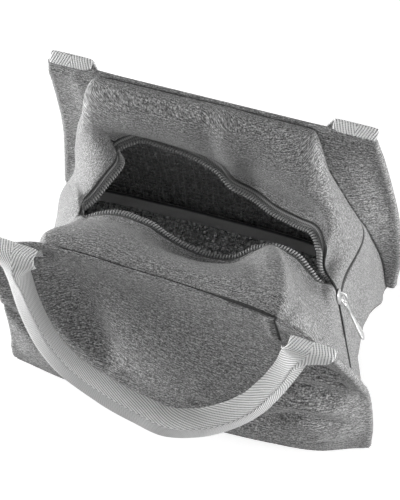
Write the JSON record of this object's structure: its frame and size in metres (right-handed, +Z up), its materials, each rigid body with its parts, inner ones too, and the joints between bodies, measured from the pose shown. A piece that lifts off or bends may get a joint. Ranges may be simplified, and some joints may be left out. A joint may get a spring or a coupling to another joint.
{
  "type": "insulated lunch bag",
  "caption": "Soft zip-top insulated lunch bag with a foil lining and two webbing carry handles, standing with its zip open.",
  "frame": {"origin": "middle of the base, on the underside of the base cloth", "axes": "+X along the length towards the end where the zip slider is, +Y towards the back panel, +Z up"},
  "size_m": [0.264, 0.2024, 0.1967],
  "materials": {
    "grey_cloth": "heathered plain weave",
    "foam": "closed-cell foam sheet",
    "foil_lining": "embossed metallised film",
    "zip_tape": "fine woven tape",
    "coil": "nylon coil",
    "binding": "smooth coated tape",
    "webbing": "herringbone webbing",
    "zinc": "satin cast metal"
  },
  "bodies": {
    "bag": {"front_panel_cloth": "grey_cloth", "front_panel_foam": "foam", "front_panel_lining": "foil_lining", "front_panel_facing": "grey_cloth", "back_panel_cloth": "grey_cloth", "back_panel_foam": "foam", "back_panel_lining": "foil_lining", "back_panel_facing": "grey_cloth", "front_lip_cloth": "grey_cloth", "front_lip_foam": "foam", "front_lip_lining": "foil_lining", "front_zip_tape": "zip_tape", "front_zip_coil": "coil", "back_lip_cloth": "grey_cloth", "back_lip_foam": "foam", "back_lip_lining": "foil_lining", "back_zip_tape": "zip_tape", "back_zip_coil": "coil", "left_gusset_cloth": "grey_cloth", "left_gusset_foam": "foam", "left_gusset_lining": "foil_lining", "right_gusset_cloth": "grey_cloth", "right_gusset_foam": "foam", "right_gusset_lining": "foil_lining", "base_cloth": "grey_cloth", "base_foam": "foam", "base_lining": "foil_lining", "seam_binding": "binding", "front_left_handle_end": "webbing", "front_right_handle_end": "webbing", "back_left_handle_end": "webbing", "back_right_handle_end": "webbing", "zip_stop": "zinc"},
    "slider": {"zip_slider": "zinc"},
    "pull": {"zip_pull": "zinc"},
    "front_strap": {"front_handle": "webbing"},
    "back_strap": {"back_handle": "webbing"}
  },
  "joints": [
    {"name": "zip_slide", "type": "slide", "parent": "bag", "child": "slider", "axis": [0.2594, -0.365, -0.8941], "range_m": [0, 0.062]},
    {"name": "pull_swing", "type": "hinge", "parent": "slider", "child": "pull", "pos_m": [0.09715, -0.00772, 0.12637], "axis": [0.0166, -0.924, 0.382], "range_deg": [0, 100]},
    {"name": "front_handle_swing", "type": "hinge", "parent": "bag", "child": "front_strap", "pos_m": [0.00459, -0.05269, 0.19305], "axis": [-0.9985, 0.0542, 0], "range_deg": [0, 150]},
    {"name": "back_handle_swing", "type": "hinge", "parent": "bag", "child": "back_strap", "pos_m": [-0.00533, 0.06665, 0.19305], "axis": [1, 0, 0], "range_deg": [0, 150]}
  ]
}
